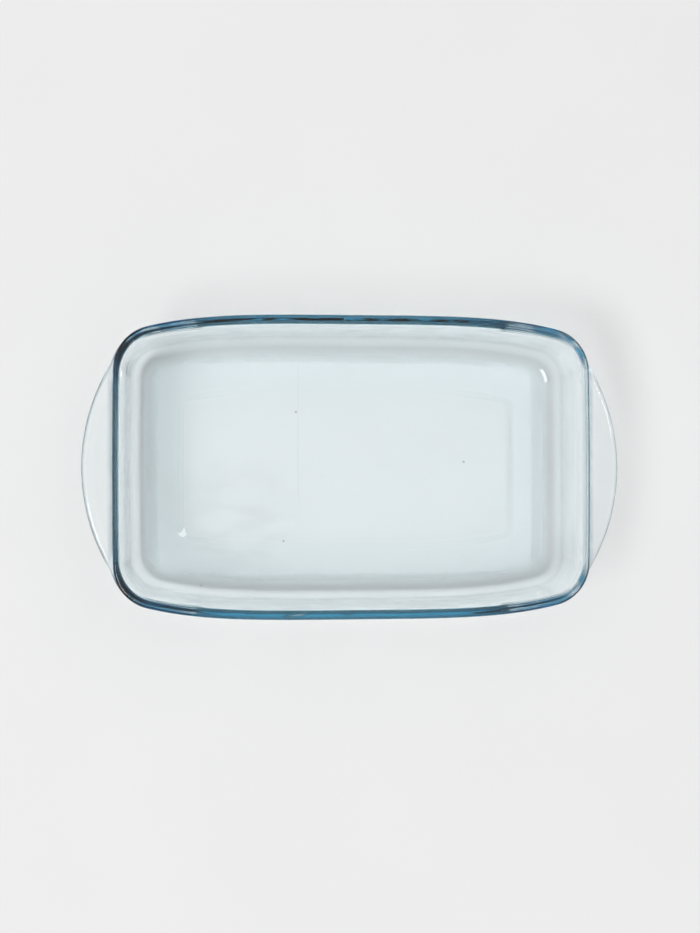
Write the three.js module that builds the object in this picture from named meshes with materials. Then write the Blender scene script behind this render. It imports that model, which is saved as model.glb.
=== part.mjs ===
// A rectangular pressed-glass oven dish with bowed long sides and a crescent handle at each end.
//
// The dish is one pressing. It is modelled as the regions that a glassworks drawing names: the basin,
// the rim bead on its wall, the foot ring under its floor and the two handle flanges on its end walls.
// Neighbouring regions meet on shared faces, without a gap and without an overlap.
//
// Millimetres, +Z up, +X towards the right handle. The origin is under the middle of the dish, on the
// surface that it stands on.

import * as THREE from 'three';

// Driving dimensions, in millimetres and degrees.

const HEIGHT = 56;                 // table to rim crown
const FOOT_HEIGHT = 1.3;           // table to the underside of the floor, inside the foot ring
const FLOOR_THICKNESS = 5;

const INNER_HALF_LENGTH = 137.5;   // mouth of the dish, at the rim
const INNER_HALF_WIDTH = 84.85;
const INNER_CORNER_RADIUS = 22;
const END_WALL_THICKNESS = 3.8;    // wall just below the rim bead
const SIDE_WALL_THICKNESS = 4.6;
const WALL_CORNER_RADIUS = 25.2;
const SIDE_TURN = 14;              // how far a long side has turned where its corner begins
const END_TURN = 0.8;              // the same for an end, which is nearly straight

const WALL_DRAFT = 8;              // lean of a nominal wall
const INNER_FILLET = 12;           // between floor and wall, inside
const OUTER_FILLET = 16.5;         // between table and wall, outside
const END_SPREAD = 0.82;           // lean and fillet reach of the ends, over the nominal wall's
const SIDE_SPREAD = 0.95;          // the same for the long sides
const CORNER_TIGHTENING = 0.57;    // corner radius lost per millimetre that the nominal wall comes in

const RIM_BEAD_HEIGHT = 4;
const RIM_OVERHANG = 0.8;          // how far the bead stands out past the wall
const RIM_ROUNDING = 2.1;

const FOOT_RING_WIDTH = 16;        // the flat that stands on the table, in from the outside fillet
const FOOT_RING_RAMP = 8;          // from that flat up to the underside of the floor
const TIGHTEST_CORNER = 5;         // no corner of the ring is sharper than this

const OVERALL_HALF_LENGTH = 160.5; // middle of the dish to the tip of a handle
const HANDLE_ARC_RADIUS = 117;     // the handle's outer edge, seen from above
const HANDLE_TOP = 50.6;
const HANDLE_THICKNESS = 4.4;
const HANDLE_ROOT_DROP = 4;        // height and reach of the fillet under a handle
const HANDLE_ROOT_OUT = 4.5;
const HANDLE_CROWN_OUT = 4;        // reach of the fillet above it, up to the rim bead
const HANDLE_NOSE = 3.5;           // reach of the rounding at its edge
const LEDGE_AT_END = 1.9;          // a narrow ledge carries the handle round the corner
const LEDGE_AT_SIDE = 0.5;

// Segments in a quarter of the outline: half a long side, a corner and half an end.
const SIDE_SEGMENTS = 7;
const CORNER_SEGMENTS = 6;
const END_SEGMENTS = 5;
const FILLET_SEGMENTS = 5;
const FOOT_SEGMENTS = 2;
const ROUND_SEGMENTS = 3;

const QUARTER = SIDE_SEGMENTS + CORNER_SEGMENTS + END_SEGMENTS;
const LOOP = 4 * QUARTER;
const RIM_BASE = HEIGHT - RIM_BEAD_HEIGHT;
const FLOOR_TOP = FOOT_HEIGHT + FLOOR_THICKNESS;
const HANDLE_ROOT_BOTTOM = HANDLE_TOP - HANDLE_THICKNESS - HANDLE_ROOT_DROP;
const WALL_LEVEL = HANDLE_ROOT_BOTTOM / 2 + FOOT_HEIGHT;

const radians = THREE.MathUtils.degToRad;
const lerp = THREE.MathUtils.lerp;

// How far the outside fillet has turned from level at the top of the foot ring, and where it meets
// the straight wall.
const FOOT_TURN = Math.acos(1 - FOOT_HEIGHT / OUTER_FILLET);
const WALL_TURN = Math.PI / 2 - radians(WALL_DRAFT);

// ---- The outline -------------------------------------------------------------------------------

// One quarter of the outline, from the middle of the right end to the middle of the far long side.
// The end is a shallow parabola, the corner an arc and the long side a quartic, each tangent to the
// next. Every point comes with its outward normal.
function quarterOutline(halfLength, halfWidth, radius) {
  const sideNormal = Math.PI / 2 - radians(SIDE_TURN);
  const endNormal = radians(END_TURN);
  const sideRatio = Math.tan(radians(SIDE_TURN)) / 4;
  const endRatio = Math.tan(endNormal) / 2;
  const alongEnd = halfLength - radius * (Math.cos(endNormal) + endRatio * Math.sin(endNormal));
  const alongSide = halfWidth - radius * (Math.sin(sideNormal) + sideRatio * Math.cos(sideNormal));
  const centreX = (alongEnd - endRatio * alongSide) / (1 - endRatio * sideRatio);
  const centreY = alongSide - sideRatio * centreX;

  const endReach = centreY + radius * Math.sin(endNormal);
  const sideReach = centreX + radius * Math.cos(sideNormal);
  const points = [];
  for (let i = 0; i < END_SEGMENTS; i += 1) {
    const t = i / END_SEGMENTS;
    const x = halfLength - endRatio * endReach * t * t;
    points.push({ x, y: endReach * t, normal: Math.atan(2 * endRatio * t) });
  }
  for (let i = 0; i < CORNER_SEGMENTS; i += 1) {
    const normal = lerp(endNormal, sideNormal, i / CORNER_SEGMENTS);
    const x = centreX + radius * Math.cos(normal);
    points.push({ x, y: centreY + radius * Math.sin(normal), normal });
  }
  for (let i = 0; i < SIDE_SEGMENTS; i += 1) {
    const t = 1 - i / SIDE_SEGMENTS;
    const y = halfWidth - sideRatio * sideReach * t ** 4;
    points.push({ x: sideReach * t, y, normal: Math.PI / 2 - Math.atan(4 * sideRatio * t ** 3) });
  }
  return points;
}

// The whole outline, anticlockwise, made of the quarter and its mirror images.
function outline({ halfLength, halfWidth, radius, z }) {
  const first = quarterOutline(halfLength, halfWidth, radius);
  const sideMiddle = { x: 0, y: halfWidth, normal: Math.PI / 2 };
  const second = [sideMiddle, ...first.slice(1).reverse()].map((p) => (
    { x: -p.x, y: p.y, normal: Math.PI - p.normal }
  ));
  const upper = [...first, ...second];
  const lower = upper.map((p) => ({ x: -p.x, y: -p.y, normal: p.normal + Math.PI }));
  return [...upper, ...lower].map((p) => ({ ...p, z }));
}

// ---- The wall's two faces ----------------------------------------------------------------------

// How far the nominal wall has come in, at a height above the level where its fillet starts.
function wallInset(fillet, rise, top) {
  const draft = radians(WALL_DRAFT);
  const filletTop = fillet * (1 - Math.sin(draft));
  const straight = (top - Math.max(rise, filletTop)) * Math.tan(draft);
  if (rise >= filletTop) {
    return straight;
  }
  const turn = Math.acos(1 - rise / fillet);
  return straight + fillet * (Math.cos(draft) - Math.sin(turn));
}

function innerSection(z) {
  const inset = wallInset(INNER_FILLET, z - FLOOR_TOP, HEIGHT - FLOOR_TOP);
  return {
    halfLength: INNER_HALF_LENGTH - END_SPREAD * inset,
    halfWidth: INNER_HALF_WIDTH - SIDE_SPREAD * inset,
    radius: INNER_CORNER_RADIUS - CORNER_TIGHTENING * inset,
    z,
  };
}

function outerSection(z) {
  const inset = wallInset(OUTER_FILLET, z, RIM_BASE);
  return {
    halfLength: INNER_HALF_LENGTH + END_WALL_THICKNESS - END_SPREAD * inset,
    halfWidth: INNER_HALF_WIDTH + SIDE_WALL_THICKNESS - SIDE_SPREAD * inset,
    radius: WALL_CORNER_RADIUS - CORNER_TIGHTENING * inset,
    z,
  };
}

// A section moved out (or in, with a negative distance) by the same amount all round.
function grown(section, distance, z) {
  return {
    halfLength: section.halfLength + distance,
    halfWidth: section.halfWidth + distance,
    radius: Math.max(section.radius + distance, TIGHTEST_CORNER),
    z,
  };
}

// Heights up a fillet, evenly spaced in angle between two of its turns from level.
function filletHeights(fillet, base, startTurn, endTurn, segments) {
  return Array.from({ length: segments + 1 }, (_, i) => (
    base + fillet * (1 - Math.cos(lerp(startTurn, endTurn, i / segments)))
  ));
}

// ---- Meshes ------------------------------------------------------------------------------------

function geometryFrom(points, triangles) {
  const geometry = new THREE.BufferGeometry();
  const positions = points.flatMap((p) => [p.x, p.y, p.z]);
  geometry.setAttribute('position', new THREE.Float32BufferAttribute(positions, 3));
  geometry.setIndex(triangles);
  geometry.computeVertexNormals();
  return geometry;
}

// Triangles between rows of points. Each row closes on itself, and every quad is split the same way,
// so two regions that share rows also share triangles.
function rowTriangles(rowCount, rowLength, closed) {
  const triangles = [];
  const lastRow = closed ? rowCount : rowCount - 1;
  for (let row = 0; row < lastRow; row += 1) {
    const here = row * rowLength;
    const above = ((row + 1) % rowCount) * rowLength;
    for (let i = 0; i < rowLength; i += 1) {
      const next = (i + 1) % rowLength;
      triangles.push(here + i, here + next, above + next);
      triangles.push(here + i, above + next, above + i);
    }
  }
  return triangles;
}

// A solid ring: the rows run up its outer face, over its top and down its inner face.
function ringGeometry(sections) {
  const rows = sections.map(outline);
  return geometryFrom(rows.flat(), rowTriangles(rows.length, LOOP, true));
}

// ---- The regions of the dish -------------------------------------------------------------------

function basinGeometry() {
  const outerFillet = filletHeights(OUTER_FILLET, 0, FOOT_TURN, WALL_TURN, FILLET_SEGMENTS);
  const innerFillet = filletHeights(INNER_FILLET, FLOOR_TOP, WALL_TURN, 0, FILLET_SEGMENTS);
  const sections = [
    ...[...outerFillet, WALL_LEVEL, HANDLE_ROOT_BOTTOM, RIM_BASE].map(outerSection),
    ...[RIM_BASE, WALL_LEVEL, ...innerFillet].map(innerSection),
  ];
  const rows = sections.map(outline);
  const points = rows.flat();
  const triangles = rowTriangles(rows.length, LOOP, false);

  const undersideCentre = points.length;
  const floorCentre = undersideCentre + 1;
  const lastRow = (rows.length - 1) * LOOP;
  points.push({ x: 0, y: 0, z: FOOT_HEIGHT }, { x: 0, y: 0, z: FLOOR_TOP });
  for (let i = 0; i < LOOP; i += 1) {
    const next = (i + 1) % LOOP;
    triangles.push(undersideCentre, next, i);
    triangles.push(floorCentre, lastRow + i, lastRow + next);
  }
  return geometryFrom(points, triangles);
}

// The bead: a full round on both edges of a narrow crown, standing a little proud of the wall outside.
function rimBeadGeometry() {
  const wallOuter = outerSection(RIM_BASE);
  const shoulder = HEIGHT - RIM_ROUNDING;
  const outerRound = [];
  const innerRound = [];
  for (let i = 0; i <= ROUND_SEGMENTS; i += 1) {
    const turn = (Math.PI / 2) * (i / ROUND_SEGMENTS);
    const rise = shoulder + RIM_ROUNDING * Math.sin(turn);
    const pullIn = RIM_ROUNDING * (1 - Math.cos(turn));
    outerRound.push(grown(wallOuter, RIM_OVERHANG - pullIn, rise));
    innerRound.unshift(grown(innerSection(shoulder), pullIn, rise));
  }
  return ringGeometry([wallOuter, ...outerRound, ...innerRound, innerSection(RIM_BASE)]);
}

// The foot ring: the start of the outside fillet, the flat that stands on the table and the ramp up
// to the floor's underside.
function footRingGeometry() {
  const outerFace = filletHeights(OUTER_FILLET, 0, 0, FOOT_TURN, FOOT_SEGMENTS).map(outerSection);
  const innerFoot = grown(outerFace[0], -FOOT_RING_WIDTH, 0);
  const innerTop = grown(innerFoot, -FOOT_RING_RAMP, FOOT_HEIGHT);
  return ringGeometry([innerFoot, ...outerFace, innerTop]);
}

// How far the handle stands out from the wall, measured along the wall's normal at a point of it.
// The crescent is an arc of a circle centred on the dish's long axis. Past the crescent's horns, which
// lie in the first half of each corner, the narrow ledge goes on round, thinning towards the long side.
function handleReach(point, cornerPart) {
  const ledge = lerp(LEDGE_AT_END, LEDGE_AT_SIDE, cornerPart);
  if (cornerPart > 0.5) {
    return ledge;
  }
  const arcCentre = OVERALL_HALF_LENGTH - HANDLE_ARC_RADIUS;
  const fromCentre = new THREE.Vector2(Math.abs(point.x) - arcCentre, Math.abs(point.y));
  const normal = new THREE.Vector2(Math.abs(Math.cos(point.normal)), Math.abs(Math.sin(point.normal)));
  const along = fromCentre.dot(normal);
  const missed = HANDLE_ARC_RADIUS ** 2 - fromCentre.lengthSq();
  const arcReach = -along + Math.sqrt(Math.max(0, along ** 2 + missed));
  return Math.max(arcReach, ledge);
}

// One section through the handle, from its root under the rim bead, out over the top, round the nose
// and back along the underside to the wall.
function handleSection(high, low, cornerPart) {
  const reach = handleReach(high, cornerPart);
  const crown = Math.min(HANDLE_CROWN_OUT, 0.45 * reach);
  const under = Math.min(HANDLE_ROOT_OUT, 0.45 * reach);
  const nose = Math.min(HANDLE_NOSE, 0.45 * reach);
  const bottom = HANDLE_TOP - HANDLE_THICKNESS;
  const middle = HANDLE_TOP - HANDLE_THICKNESS / 2;
  const halfTurned = 1 - Math.SQRT1_2;
  const at = (distance, z) => (
    { x: high.x + distance * Math.cos(high.normal), y: high.y + distance * Math.sin(high.normal), z }
  );
  return [
    high,
    at(halfTurned * crown, lerp(HANDLE_TOP, RIM_BASE, halfTurned)),
    at(crown, HANDLE_TOP),
    at(reach - nose, HANDLE_TOP),
    at(reach - halfTurned * nose, middle + Math.SQRT1_2 * HANDLE_THICKNESS / 2),
    at(reach, middle),
    at(reach - halfTurned * nose, middle - Math.SQRT1_2 * HANDLE_THICKNESS / 2),
    at(reach - nose, bottom),
    at(under, bottom),
    at(halfTurned * under, bottom - halfTurned * HANDLE_ROOT_DROP),
    low,
  ];
}

// A handle runs from one corner's far edge, across the end, to the other corner's far edge.
// endIndex is the outline point in the middle of that end: 0 on the right, half the loop on the left.
function handleGeometry(endIndex) {
  const span = END_SEGMENTS + CORNER_SEGMENTS;
  const highLoop = outline(outerSection(RIM_BASE));
  const lowLoop = outline(outerSection(HANDLE_ROOT_BOTTOM));
  const sections = [];
  for (let step = -span; step <= span; step += 1) {
    const index = (endIndex + step + LOOP) % LOOP;
    const cornerPart = Math.max(0, Math.abs(step) - END_SEGMENTS) / CORNER_SEGMENTS;
    sections.push(handleSection(highLoop[index], lowLoop[index], cornerPart));
  }
  const size = sections[0].length;
  const triangles = rowTriangles(sections.length, size, false);
  const root = sections[0][0];
  const flat = sections[0].map((p) => {
    const out = (p.x - root.x) * Math.cos(root.normal) + (p.y - root.y) * Math.sin(root.normal);
    return new THREE.Vector2(out, p.z);
  });
  const lastSection = (sections.length - 1) * size;
  for (const [a, b, c] of THREE.ShapeUtils.triangulateShape(flat, [])) {
    triangles.push(a, b, c);
    triangles.push(lastSection + c, lastSection + b, lastSection + a);
  }
  return geometryFrom(sections.flat(), triangles);
}

// ---- The dish ----------------------------------------------------------------------------------

const clearGlass = {
  color: 0xdfe9ea, roughness: 0.03, metalness: 0, transparent: true, opacity: 0.4,
};
const rimGlass = { ...clearGlass, color: 0x5a8aa3, opacity: 0.75 };

function region(name, geometry, glass) {
  const mesh = new THREE.Mesh(geometry, new THREE.MeshStandardMaterial(glass));
  mesh.name = name;
  return mesh;
}

const group = new THREE.Group();
group.add(region('basin', basinGeometry(), clearGlass));
group.add(region('rim_bead', rimBeadGeometry(), rimGlass));
group.add(region('foot_ring', footRingGeometry(), clearGlass));
group.add(region('right_handle', handleGeometry(0), clearGlass));
group.add(region('left_handle', handleGeometry(LOOP / 2), clearGlass));

export default group;
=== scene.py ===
import math

import bpy
import numpy as np
from mathutils import Matrix, Vector


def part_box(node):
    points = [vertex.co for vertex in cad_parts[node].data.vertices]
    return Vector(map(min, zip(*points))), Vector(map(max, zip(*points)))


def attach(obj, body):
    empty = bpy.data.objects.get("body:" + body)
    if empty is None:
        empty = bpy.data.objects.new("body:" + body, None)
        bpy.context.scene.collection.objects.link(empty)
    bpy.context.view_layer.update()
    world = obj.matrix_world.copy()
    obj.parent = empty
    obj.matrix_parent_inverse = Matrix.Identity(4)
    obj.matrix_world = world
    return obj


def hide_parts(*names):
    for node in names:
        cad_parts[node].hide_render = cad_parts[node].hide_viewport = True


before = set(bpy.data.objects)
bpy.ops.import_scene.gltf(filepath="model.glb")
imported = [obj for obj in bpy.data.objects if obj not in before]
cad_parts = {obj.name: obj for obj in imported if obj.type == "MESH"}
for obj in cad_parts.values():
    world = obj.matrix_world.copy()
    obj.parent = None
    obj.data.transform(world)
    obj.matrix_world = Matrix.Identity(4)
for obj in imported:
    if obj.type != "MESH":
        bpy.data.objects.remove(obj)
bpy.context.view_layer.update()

# Driving dimensions, in metres and degrees. What the frame knows is read from it.

_, basin_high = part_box("basin")
rim_low, rim_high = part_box("rim_bead")
_, foot_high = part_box("foot_ring")
_, handle_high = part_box("right_handle")

HEIGHT = rim_high.z
RIM_BASE = rim_low.z
FOOT_HEIGHT = foot_high.z
FLOOR_THICKNESS = 0.005
FLOOR_TOP = FOOT_HEIGHT + FLOOR_THICKNESS
OVERALL_HALF_LENGTH = handle_high.x

END_WALL_THICKNESS = 0.0038
SIDE_WALL_THICKNESS = 0.0046
INNER_CORNER_RADIUS = 0.022
WALL_CORNER_RADIUS = 0.0252
SIDE_TURN = 14.0                  # how far a long side has turned where its corner begins
END_TURN = 0.8                    # the same for an end

WALL_DRAFT = 8.0                  # lean of a nominal wall
INNER_FILLET = 0.012
OUTER_FILLET = 0.0165
END_SPREAD = 0.82                 # lean and fillet reach of the ends, over the nominal wall's
SIDE_SPREAD = 0.95                # the same for the long sides
CORNER_TIGHTENING = 0.57          # corner radius lost per metre that the nominal wall comes in

RIM_ROUNDING = 0.0021

FOOT_RING_WIDTH = 0.016
FOOT_RING_RAMP = 0.008            # from the ring's flat up to the underside of the floor
TIGHTEST_CORNER = 0.005

HANDLE_ARC_RADIUS = 0.117
HANDLE_TOP = 0.0506
HANDLE_THICKNESS = 0.0044
HANDLE_ROOT_DROP = 0.0040         # height and reach of the fillet under a handle
HANDLE_ROOT_OUT = 0.0045
HANDLE_CROWN_OUT = 0.0040         # reach of the fillet above it
HANDLE_NOSE = 0.0035              # reach of the rounding at its edge
HANDLE_WAIST = 0.00025            # how much each face of the plate lies below its thicker edge
LEDGE_AT_END = 0.0019             # a narrow ledge carries the handle round the corner
LEDGE_AT_SIDE = 0.0005
LEDGE_FADE = 0.25                 # part of the half long side over which the ledge dies away

END_COLUMNS = 26
CORNER_COLUMNS = 24
SIDE_COLUMNS = 40
CROWN_STEPS = 9                   # rows in each rounded half of the rim's crown
CROWN_STEPS_INSIDE = 5            # those of its inner half that face into the dish

# The glass, and the marks on its surface. Places are on the dish, lengths in metres.

GLASS_IOR = 1.49
ABSORPTION_COLOUR = (0.171, 0.700, 0.836, 1)
ABSORPTION_DENSITY = 14
WAVE_HEIGHT = 0.00022
SHEAR_LINE_X = -0.0315
# A darker patch on the inside floor; its grey also darkens the shear line.
DARK_PATCH_CENTRE = (-0.070, -0.036, 0.0063)
DARK_PATCH_RADIUS = 0.055
FLOOR_MARK_TINT = (0.935, 0.935, 0.94, 1.0)
SPECKS = (
    (-0.040, -0.0455, 0.0063),
    (0.0735, 0.004, 0.0063),
    (-0.0322, 0.035, 0.0063),
    (-0.091, -0.0725, 0.0090),
)
SPECK_RADIUS = 0.0009
SPECK_TINT = (0.35, 0.33, 0.32, 1.0)
FOOT_FROST = 0.45                 # roughness of the worn foot
FROST_FROM = 0.93                 # part of the foot's half width where the wear begins
FROST_FADE = 0.03                 # and the part over which it grows
FROST_RISE = 0.0004               # height to which it reaches

# Painted shade: dark blue and grey laid into the glass's colour in places where the plain glass doesn't show
# them.

# Painted shade: dark blue along the rim's edge, round the corners and on each handle's root and edge.
PAINTED_EDGE_SHADE = (0.015, 0.11, 0.22, 1.0)
EDGE_SHADE_BASE = 0.0512                # height from which the rim's painted blue shade shows
CORNER_SHADE = 1.0
END_SHADE = 0.2
ROOT_SHADE = 0.4                   # in the fillet above a handle
NOSE_SHADE = 0.4                   # round a handle's edge
# Painted shade: grey laid low in the inside fillet, all the way round.
PAINTED_FILLET_SHADE = (0.885, 0.87, 0.87, 1.0)

FLOOR_RADIUS = 40.0
FLOOR_Z = -0.0002                 # just clear of the foot
FLOOR_SIDES = 96


# ---- Camera ------------------------------------------------------------------------------------

CAMERA_DISTANCE = 0.863
CAMERA_LEAN_LEFT = 5.2            # degrees from straight overhead, towards -X
CAMERA_LEAN_FRONT = 0.8           # the same, towards -Y
CAMERA_ROLL = -0.09
CAMERA_LENS = 56.2


def make_camera():
    aim = Vector((-0.0027, 0.0003, HEIGHT - RIM_ROUNDING))
    lean_x = math.sin(math.radians(CAMERA_LEAN_LEFT))
    lean_y = math.sin(math.radians(CAMERA_LEAN_FRONT))
    back = Vector((-lean_x, -lean_y, math.sqrt(1 - lean_x**2 - lean_y**2)))
    right = Vector((0, 1, 0)).cross(back).normalized()
    up = back.cross(right)
    turned = Matrix((right, up, back)).transposed().to_4x4()
    data = bpy.data.cameras.new("camera")
    data.lens = CAMERA_LENS
    data.sensor_width = 36
    camera = bpy.data.objects.new("camera", data)
    camera.matrix_world = (
        Matrix.Translation(aim + back * CAMERA_DISTANCE)
        @ turned
        @ Matrix.Rotation(math.radians(CAMERA_ROLL), 4, "Z")
    )
    bpy.context.scene.collection.objects.link(camera)
    bpy.context.scene.camera = camera


make_camera()


# ---- The outline -------------------------------------------------------------------------------

class Outline:
    """Points of a closed outline, anticlockwise from the middle of the right end, with normals."""

    def __init__(self, x, y, angle):
        self.x, self.y, self.angle = x, y, angle
        self.nx, self.ny = np.cos(angle), np.sin(angle)


def outline(half_length, half_width, radius):
    side_normal = math.pi / 2 - math.radians(SIDE_TURN)
    end_normal = math.radians(END_TURN)
    side_ratio = math.tan(math.radians(SIDE_TURN)) / 4
    end_ratio = math.tan(end_normal) / 2
    along_end = half_length - radius * (math.cos(end_normal) + end_ratio * math.sin(end_normal))
    along_side = half_width - radius * (math.sin(side_normal) + side_ratio * math.cos(side_normal))
    centre_x = (along_end - end_ratio * along_side) / (1 - end_ratio * side_ratio)
    centre_y = along_side - side_ratio * centre_x
    end_reach = centre_y + radius * math.sin(end_normal)
    side_reach = centre_x + radius * math.cos(side_normal)

    t = np.arange(END_COLUMNS) / END_COLUMNS
    end = half_length - end_ratio * end_reach * t**2, end_reach * t, np.arctan(2 * end_ratio * t)
    turn = end_normal + (side_normal - end_normal) * np.arange(CORNER_COLUMNS) / CORNER_COLUMNS
    corner = centre_x + radius * np.cos(turn), centre_y + radius * np.sin(turn), turn
    t = 1 - np.arange(SIDE_COLUMNS) / SIDE_COLUMNS
    side = (
        side_reach * t,
        half_width - side_ratio * side_reach * t**4,
        math.pi / 2 - np.arctan(4 * side_ratio * t**3),
    )
    x, y, angle = (np.concatenate(parts) for parts in zip(end, corner, side))
    x2 = np.concatenate([x, [0], -x[:0:-1]])
    y2 = np.concatenate([y, [half_width], y[:0:-1]])
    angle2 = np.concatenate([angle, [math.pi / 2], math.pi - angle[:0:-1]])
    return Outline(
        np.concatenate([x2, -x2]), np.concatenate([y2, -y2]), np.concatenate([angle2, angle2 + math.pi])
    )


def corner_part():
    """How far each column is round its corner: 0 along an end, 1 where the long side begins, then
    rising to 2 at the middle of the long side."""
    quarter = np.concatenate([
        np.zeros(END_COLUMNS),
        np.arange(CORNER_COLUMNS) / CORNER_COLUMNS,
        1 + np.arange(SIDE_COLUMNS) / SIDE_COLUMNS,
    ])
    half = np.concatenate([quarter, [2], quarter[:0:-1]])
    return np.concatenate([half, half])


# ---- The wall's two faces ----------------------------------------------------------------------

def wall_inset(fillet, rise, top):
    draft = math.radians(WALL_DRAFT)
    fillet_top = fillet * (1 - math.sin(draft))
    straight = (top - max(rise, fillet_top)) * math.tan(draft)
    if rise >= fillet_top:
        return straight
    turn = math.acos(1 - max(rise, 0) / fillet)
    return straight + fillet * (math.cos(draft) - math.sin(turn))


def inner_outline(z, pull_in=0.0):
    inset = wall_inset(INNER_FILLET, z - FLOOR_TOP, HEIGHT - FLOOR_TOP)
    return outline(
        basin_high.x - END_WALL_THICKNESS - END_SPREAD * inset + pull_in,
        basin_high.y - SIDE_WALL_THICKNESS - SIDE_SPREAD * inset + pull_in,
        INNER_CORNER_RADIUS - CORNER_TIGHTENING * inset + pull_in,
    )


def outer_outline(z, push_out=0.0):
    inset = wall_inset(OUTER_FILLET, z, RIM_BASE)
    return outline(
        basin_high.x - END_SPREAD * inset + push_out,
        basin_high.y - SIDE_SPREAD * inset + push_out,
        max(WALL_CORNER_RADIUS - CORNER_TIGHTENING * inset + push_out, TIGHTEST_CORNER),
    )


# ---- Rows of the glass surface, from the middle of the underside to the middle of the floor ----

def level(shape, z):
    return np.stack([shape.x, shape.y, np.full_like(shape.x, z)], axis=1)


def smooth(t):
    return t * t * (3 - 2 * t)


def panel_rows(shape, z, steps=6, last=0.35):
    """Rows that shrink from a shape towards the middle of a flat panel."""
    return [
        level(Outline(shape.x * k, shape.y * k, shape.angle), z)
        for k in np.linspace(1, last, steps)[1:]
    ]


def foot_rows():
    """The underside, the ramp down from it and the flat ring that stands on the floor."""
    inset = FOOT_RING_WIDTH + FOOT_RING_RAMP
    rows = panel_rows(outer_outline(0, -inset), FOOT_HEIGHT)[::-1]
    for t in np.linspace(0, 1, 11):
        rows.append(level(outer_outline(0, FOOT_RING_RAMP * t - inset), FOOT_HEIGHT * (1 - smooth(t))))
    for t in np.linspace(0, 1, 5)[1:-1]:
        rows.append(level(outer_outline(0, -FOOT_RING_WIDTH * (1 - t)), 0.0))
    return rows


def outer_wall_rows(top):
    span = math.pi / 2 - math.radians(WALL_DRAFT)
    heights = [OUTER_FILLET * (1 - math.cos(span * i / 18)) for i in range(19)]
    heights += list(np.linspace(heights[-1], top, 8)[1:])
    return [level(outer_outline(z), z) for z in heights]


def handle_reach(shape):
    part = corner_part()
    centre = OVERALL_HALF_LENGTH - HANDLE_ARC_RADIUS
    from_x, from_y = np.abs(shape.x) - centre, np.abs(shape.y)
    along = from_x * np.abs(shape.nx) + from_y * np.abs(shape.ny)
    missed = HANDLE_ARC_RADIUS**2 - from_x**2 - from_y**2
    arc = -along + np.sqrt(np.maximum(0, along**2 + missed))
    arc = np.where(part > 0.55, -HANDLE_ARC_RADIUS, arc)
    ledge = LEDGE_AT_END + (LEDGE_AT_SIDE - LEDGE_AT_END) * np.clip(part, 0, 1)
    fade = np.clip((part - 1) / LEDGE_FADE, 0, 1)
    ledge = ledge * (1 - smooth(fade))
    blend = 0.0012
    return 0.5 * (arc + ledge + np.sqrt((arc - ledge) ** 2 + blend**2)) * (part < 1 + LEDGE_FADE)


def handle_rows():
    """From the wall, out under the handle, round its nose and back over its top to the wall.
    Along the long sides, where there is no handle, the rows are spread evenly up the wall."""
    rim = outer_outline(RIM_BASE)
    reach = handle_reach(rim)
    bottom = HANDLE_TOP - HANDLE_THICKNESS
    middle = HANDLE_TOP - HANDLE_THICKNESS / 2
    under = np.minimum(HANDLE_ROOT_OUT, 0.45 * reach)
    crown = np.minimum(HANDLE_CROWN_OUT, 0.45 * reach)
    nose = np.minimum(HANDLE_NOSE, 0.45 * reach)

    def waist(distance):
        return HANDLE_WAIST * smooth(np.clip((reach - nose - distance) / 0.0045, 0, 1))

    places = []
    for turn in np.linspace(0, math.pi / 2, 8):
        distance = under * (1 - math.cos(turn))
        rise = HANDLE_ROOT_DROP * (1 - math.sin(turn))
        places.append((distance, bottom - rise + waist(distance) * math.sin(turn)))
    for t in np.linspace(0, 1, 12)[1:-1]:
        distance = under + (reach - nose - under) * t
        places.append((distance, bottom + waist(distance)))
    for turn in np.linspace(-math.pi / 2, math.pi / 2, 13):
        places.append((
            reach - nose + nose * math.cos(turn),
            middle + HANDLE_THICKNESS / 2 * math.sin(turn) + 0 * reach,
        ))
    for t in np.linspace(1, 0, 12)[1:-1]:
        distance = crown + (reach - nose - crown) * t
        places.append((distance, HANDLE_TOP - waist(distance)))
    for turn in np.linspace(math.pi / 2, 0, 8):
        distance = crown * (1 - math.cos(turn))
        level_part = math.sin(turn)
        rise = (RIM_BASE - HANDLE_TOP) * (1 - level_part)
        places.append((distance, HANDLE_TOP + rise - waist(distance) * level_part))
    low, high = places[0][1], RIM_BASE
    stands_out = smooth(np.clip(reach / 0.0015, 0, 1))
    rows = []
    for i, (distance, z) in enumerate(places):
        spread = low + (high - low) * i / (len(places) - 1)
        height = spread + (z - spread) * stands_out
        t = (height - low) / (high - low)
        wall_low, wall_high = outer_outline(float(low[0])), rim
        far = distance / np.maximum(reach, 1e-6)
        near_x = wall_low.x + (wall_high.x - wall_low.x) * t
        near_y = wall_low.y + (wall_high.y - wall_low.y) * t
        x = near_x + (rim.x - near_x) * far + rim.nx * distance
        y = near_y + (rim.y - near_y) * far + rim.ny * distance
        rows.append(np.stack([x, y, height], axis=1))
    return rows


def rim_rows():
    overhang = rim_high.x - basin_high.x
    shoulder = HEIGHT - RIM_ROUNDING
    rows = []
    for t in np.linspace(0, 1, 6)[1:]:
        z = RIM_BASE + (shoulder - RIM_BASE) * t
        rows.append(level(outer_outline(RIM_BASE, overhang * smooth(t)), z))
    for turn in np.linspace(0, math.pi / 2, CROWN_STEPS)[1:]:
        pull_in = RIM_ROUNDING * (1 - math.cos(turn))
        rows.append(level(
            outer_outline(RIM_BASE, overhang - pull_in), shoulder + RIM_ROUNDING * math.sin(turn)
        ))
    for turn in np.linspace(math.pi / 2, 0, CROWN_STEPS):
        pull_in = RIM_ROUNDING * (1 - math.cos(turn))
        rows.append(level(inner_outline(shoulder, pull_in), shoulder + RIM_ROUNDING * math.sin(turn)))
    return rows


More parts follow.
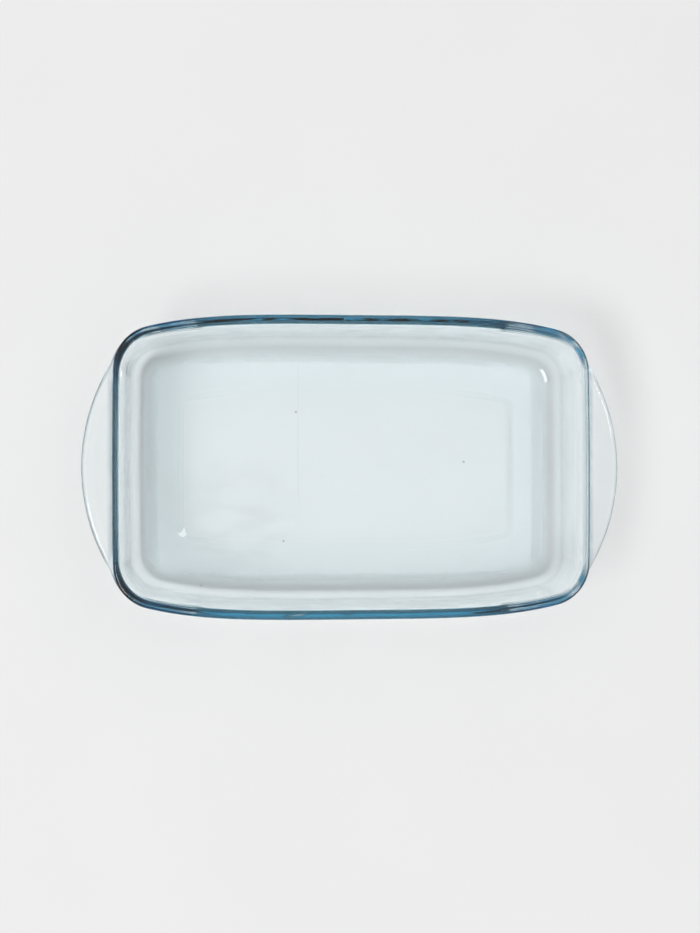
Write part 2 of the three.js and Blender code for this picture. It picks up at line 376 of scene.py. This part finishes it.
def inner_rows():
    span = math.pi / 2 - math.radians(WALL_DRAFT)
    heights = [FLOOR_TOP + INNER_FILLET * (1 - math.cos(span * i / 16)) for i in range(17)]
    wall = list(np.linspace(HEIGHT - RIM_ROUNDING, heights[-1], 12)[1:-1])
    rows = [level(inner_outline(z), z) for z in wall + heights[::-1]]
    return rows + panel_rows(inner_outline(FLOOR_TOP), FLOOR_TOP)


def foot_frost(points):
    """1 where the foot is worn, round the outer edge of the ring that it stands on, and 0 elsewhere."""
    edge = outer_outline(0)
    worn = np.interp(points[:, 2], [0.0, FROST_RISE], [1.0, 0.0])
    ring = np.maximum(np.abs(points[:, 0]) / edge.x.max(), np.abs(points[:, 1]) / edge.y.max())
    return worn * np.clip((ring - FROST_FROM) / FROST_FADE, 0, 1)


def on_inside(points):
    """True for the points that face into the dish: the crown's inner edge, the inner wall and the floor."""
    rows_inside = len(inner_rows()) + CROWN_STEPS_INSIDE
    return np.arange(len(points)) > len(points) - rows_inside * len(corner_part())


def painted_edge_shade(points):
    """How strongly the painted blue shade is laid on along the edge, the same at both ends of the dish: most
    round the corners, where the bead and the ledge run together, and less along the ends of the rim and in
    each handle's root and edge."""
    z = points[:, 2]
    part = np.tile(corner_part(), len(points) // len(corner_part()))
    inside = on_inside(points)
    at_handle = 1 - smooth(np.clip(part / 0.3, 0, 1))
    corner = (1 - at_handle) * (1 - smooth(np.clip((part - 1.1) / 0.4, 0, 1)))
    strength = CORNER_SHADE * corner + END_SHADE * at_handle
    base = np.where(inside, HEIGHT - 0.5 * RIM_ROUNDING, EDGE_SHADE_BASE - 0.0025 * corner)
    rim = smooth(np.clip((z - base) / 0.001, 0, 1)) * strength
    off_middle = (z - HANDLE_TOP + HANDLE_THICKNESS / 2) / (HANDLE_THICKNESS / 2)
    from_wall = np.abs(points[:, 0]) - basin_high.x
    root = 1 - smooth(np.clip((from_wall - 0.0024) / 0.0022, 0, 1))
    root = root * (off_middle > 0.5) * (z <= RIM_BASE) * ROOT_SHADE
    nose = np.clip(1 - off_middle**2, 0, 1) ** 2 * NOSE_SHADE
    return np.maximum(rim, (root + nose) * at_handle * ~inside)


def painted_fillet_shade(points):
    """How strongly the painted grey shade is laid on: 1 low in the inside fillet, all the way round, 0
    elsewhere.
    """
    up = points[:, 2] - FLOOR_TOP
    band = smooth(np.clip(up / 0.0008, 0, 1)) * (1 - smooth(np.clip((up - 0.0022) / 0.004, 0, 1)))
    return band * on_inside(points)


def make_dish():
    root_bottom = HANDLE_TOP - HANDLE_THICKNESS - HANDLE_ROOT_DROP
    rows = foot_rows() + outer_wall_rows(root_bottom)[:-1] + handle_rows() + rim_rows() + inner_rows()
    points = np.concatenate(rows)
    columns = len(rows[0])
    faces = []
    for row in range(len(rows) - 1):
        here, above = row * columns, (row + 1) * columns
        for i in range(columns):
            j = (i + 1) % columns
            faces.append((here + i, here + j, above + j, above + i))
    last = (len(rows) - 1) * columns
    faces.append(tuple(range(columns))[::-1])
    faces.append(tuple(range(last, last + columns)))
    mesh = bpy.data.meshes.new("glass_dish")
    mesh.from_pydata(points.tolist(), [], faces)
    mesh.polygons.foreach_set("use_smooth", [True] * len(mesh.polygons))
    # Masks: the worn foot, the painted shade along the edge and the painted shade low in the inside fillet.
    masks = ("frost", foot_frost(points)), ("edge", painted_edge_shade(points)), ("fillet_shade_mask", painted_fillet_shade(points))
    for name, values in masks:
        mesh.attributes.new(name, "FLOAT", "POINT").data.foreach_set("value", values)
    mesh.update()
    dish = bpy.data.objects.new("glass_dish", mesh)
    bpy.context.scene.collection.objects.link(dish)
    return dish


# ---- Materials ---------------------------------------------------------------------------------

class Graph:
    """Short-hand for building a material's node tree. Values may be numbers, colours or sockets."""

    def __init__(self, material):
        material.use_nodes = True
        self.nodes, self.links = material.node_tree.nodes, material.node_tree.links
        self.shader = self.nodes["Principled BSDF"]

    def plug(self, value, socket):
        if isinstance(value, bpy.types.NodeSocket):
            self.links.new(value, socket)
        else:
            socket.default_value = value

    def math(self, operation, a, b=0.0):
        node = self.nodes.new("ShaderNodeMath")
        node.operation = operation
        self.plug(a, node.inputs[0])
        self.plug(b, node.inputs[1])
        return node.outputs[0]

    def ramp(self, value, start, end, low=0.0, high=1.0):
        """low below start, high above end, and smooth between them."""
        node = self.nodes.new("ShaderNodeMapRange")
        node.interpolation_type = "SMOOTHSTEP"
        self.plug(value, node.inputs["Value"])
        self.plug(start, node.inputs["From Min"])
        self.plug(end, node.inputs["From Max"])
        self.plug(low, node.inputs["To Min"])
        self.plug(high, node.inputs["To Max"])
        return node.outputs["Result"]

    def noise(self, vector, scale, detail=2.0, stretch=(1, 1, 1)):
        mapping = self.nodes.new("ShaderNodeMapping")
        mapping.inputs["Scale"].default_value = stretch
        self.plug(vector, mapping.inputs["Vector"])
        node = self.nodes.new("ShaderNodeTexNoise")
        node.inputs["Scale"].default_value = scale
        node.inputs["Detail"].default_value = detail
        self.links.new(mapping.outputs["Vector"], node.inputs["Vector"])
        return node.outputs["Fac"]

    def position(self):
        """The place on the object, whole and as x, y and z."""
        coordinate = self.nodes.new("ShaderNodeTexCoord")
        split = self.nodes.new("ShaderNodeSeparateXYZ")
        self.links.new(coordinate.outputs["Object"], split.inputs["Vector"])
        return coordinate.outputs["Object"], split.outputs["X"], split.outputs["Y"], split.outputs["Z"]

    def mask(self, name):
        """One of the masks stored on the mesh."""
        node = self.nodes.new("ShaderNodeAttribute")
        node.attribute_name = name
        return node.outputs["Fac"]

    def spot(self, vector, centre, radius):
        """1 at a point, falling to 0 at the radius."""
        distance = self.nodes.new("ShaderNodeVectorMath")
        distance.operation = "DISTANCE"
        self.plug(vector, distance.inputs[0])
        distance.inputs[1].default_value = centre
        return self.ramp(distance.outputs["Value"], 0.3 * radius, radius, 1.0, 0.0)

    def mix(self, amount, a, b):
        node = self.nodes.new("ShaderNodeMix")
        node.data_type = "RGBA"
        self.plug(amount, node.inputs["Factor"])
        self.plug(a, node.inputs["A"])
        self.plug(b, node.inputs["B"])
        return node.outputs["Result"]

    def bump(self, height, distance):
        node = self.nodes.new("ShaderNodeBump")
        node.inputs["Distance"].default_value = distance
        self.plug(height, node.inputs["Height"])
        self.links.new(node.outputs["Normal"], self.shader.inputs["Normal"])


def glass_material():
    """Clear pressed glass: a faint waviness with drag marks up the walls, a shear line, a darker patch and a
    few specks on the inside floor, painted blue shade along the rim's edge, painted grey shade low in the
    inside fillet, and a worn foot."""
    material = bpy.data.materials.new("clear_pressed_glass")
    graph = Graph(material)
    shader = graph.shader
    point, x, y, z = graph.position()
    inside_floor = graph.math(
        "MULTIPLY", graph.ramp(z, 0.0055, 0.0062), graph.ramp(z, 0.0066, 0.0085, 1.0, 0.0)
    )

    waves = graph.noise(point, 38.0, 1.5)
    streaks = graph.noise(point, 60.0, 2.0, (1.0, 1.0, 0.25))
    shear_wander = graph.math("MULTIPLY", graph.noise(point, 30.0, 2.0, (0.0, 1.0, 0.0)), 0.0012)
    shear_place = graph.math("ADD", shear_wander, SHEAR_LINE_X)
    shear_offset = graph.math("ABSOLUTE", graph.math("SUBTRACT", x, shear_place))
    shear = graph.math("MULTIPLY", graph.ramp(shear_offset, 0.0002, 0.0007, 1.0, 0.0), inside_floor)
    shear = graph.math("MULTIPLY", shear, graph.ramp(y, -0.035, -0.01))
    height = graph.math("ADD", waves, graph.math("MULTIPLY", streaks, 0.35))
    height = graph.math("ADD", height, graph.math("MULTIPLY", shear, 0.12))
    graph.bump(height, WAVE_HEIGHT)

    # A darker patch on the inside floor, broken up by noise.
    cloud = graph.noise(point, 45.0, 4.0, (1.0, 2.2, 1.0))
    dark_patch = graph.math("MULTIPLY", graph.ramp(cloud, 0.38, 0.62), graph.spot(point, DARK_PATCH_CENTRE, DARK_PATCH_RADIUS))
    dark_patch = graph.math("MULTIPLY", dark_patch, inside_floor)
    tint = graph.mix(dark_patch, (1.0, 1.0, 1.0, 1.0), FLOOR_MARK_TINT)
    tint = graph.mix(graph.math("MULTIPLY", shear, 0.8), tint, FLOOR_MARK_TINT)
    # Painted shade: grey low in the inside fillet.
    tint = graph.mix(graph.mask("fillet_shade_mask"), tint, PAINTED_FILLET_SHADE)
    # Painted shade along the rim's edge and the handles, thinned at random into painted glints.
    painted_glints = graph.ramp(graph.noise(point, 90.0, 1.0), 0.36, 0.5, 0.65, 1.0)
    tint = graph.mix(graph.math("MULTIPLY", graph.mask("edge"), painted_glints), tint, PAINTED_EDGE_SHADE)
    for centre in SPECKS:
        tint = graph.mix(graph.spot(point, centre, SPECK_RADIUS), tint, SPECK_TINT)
    graph.plug(tint, shader.inputs["Base Color"])

    roughness = graph.math("MULTIPLY", graph.mask("frost"), FOOT_FROST)
    graph.plug(roughness, shader.inputs["Roughness"])

    shader.inputs["Transmission Weight"].default_value = 1
    shader.inputs["IOR"].default_value = GLASS_IOR
    absorb = graph.nodes.new("ShaderNodeVolumeAbsorption")
    absorb.inputs["Color"].default_value = ABSORPTION_COLOUR
    absorb.inputs["Density"].default_value = ABSORPTION_DENSITY
    graph.links.new(absorb.outputs["Volume"], graph.nodes["Material Output"].inputs["Volume"])
    return material


def floor_material():
    """A matt pale worktop with a very slight mottling."""
    material = bpy.data.materials.new("pale_floor")
    graph = Graph(material)
    point, _, _, _ = graph.position()
    mottle = graph.ramp(graph.noise(point, 9.0, 5.0), 0.3, 0.7)
    colour = graph.mix(mottle, (0.795, 0.795, 0.795, 1), (0.805, 0.805, 0.805, 1))
    graph.plug(colour, graph.shader.inputs["Base Color"])
    graph.shader.inputs["Roughness"].default_value = 0.9
    graph.shader.inputs["Specular IOR Level"].default_value = 0.0
    return material


# ---- Set ---------------------------------------------------------------------------------------

def make_floor():
    mesh = bpy.data.meshes.new("floor")
    turns = [math.tau * i / FLOOR_SIDES for i in range(FLOOR_SIDES)]
    ring = [(FLOOR_RADIUS * math.cos(turn), FLOOR_RADIUS * math.sin(turn), FLOOR_Z) for turn in turns]
    mesh.from_pydata(ring, [], [tuple(range(FLOOR_SIDES))])
    mesh.materials.append(floor_material())
    floor = bpy.data.objects.new("floor", mesh)
    bpy.context.scene.collection.objects.link(floor)


KEY_AZIMUTH = 211.0
KEY_ELEVATION = 52.0
KEY_DISTANCE = 7.0
KEY_SIZE = (3.4, 2.2)
KEY_POWER = 176.0
# The sine of the elevation, and the brightness there.
SKY_STOPS = ((0.0, 0.21), (0.5, 0.34), (0.73, 1.07), (0.92, 1.22), (0.98, 0.78))


def make_lights():
    azimuth, elevation = math.radians(KEY_AZIMUTH), math.radians(KEY_ELEVATION)
    back = Vector((
        math.cos(azimuth) * math.cos(elevation), math.sin(azimuth) * math.cos(elevation), math.sin(elevation)
    ))
    data = bpy.data.lights.new("key", "AREA")
    data.shape = "RECTANGLE"
    data.size, data.size_y = KEY_SIZE
    data.energy = KEY_POWER
    key = bpy.data.objects.new("key", data)
    key.location = back * KEY_DISTANCE
    key.rotation_mode = "QUATERNION"
    key.rotation_quaternion = (-back).to_track_quat("-Z", "Y")
    bpy.context.scene.collection.objects.link(key)

    world = bpy.data.worlds.new("studio")
    world.use_nodes = True
    nodes, links = world.node_tree.nodes, world.node_tree.links
    coordinate = nodes.new("ShaderNodeTexCoord")
    split = nodes.new("ShaderNodeSeparateXYZ")
    ramp = nodes.new("ShaderNodeValToRGB")
    links.new(coordinate.outputs["Generated"], split.inputs["Vector"])
    links.new(split.outputs["Z"], ramp.inputs["Fac"])
    links.new(ramp.outputs["Color"], nodes["Background"].inputs["Color"])
    stops = ramp.color_ramp.elements
    while len(stops) < len(SKY_STOPS):
        stops.new(0.5)
    for stop, (position, brightness) in zip(stops, SKY_STOPS):
        stop.position = position
        stop.color = (brightness, brightness, brightness, 1)
    nodes["Background"].inputs["Strength"].default_value = 1.0
    bpy.context.scene.world = world


def set_look():
    scene = bpy.context.scene
    scene.view_settings.view_transform = "Standard"
    scene.cycles.max_bounces = 64
    scene.cycles.transmission_bounces = 64
    scene.cycles.glossy_bounces = 12
    scene.cycles.sample_clamp_indirect = 0
    scene.cycles.blur_glossy = 0.2


make_floor()
make_lights()
set_look()
dish = make_dish()
dish.data.materials.append(glass_material())
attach(dish, "root")
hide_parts("basin", "rim_bead", "foot_ring", "right_handle", "left_handle")
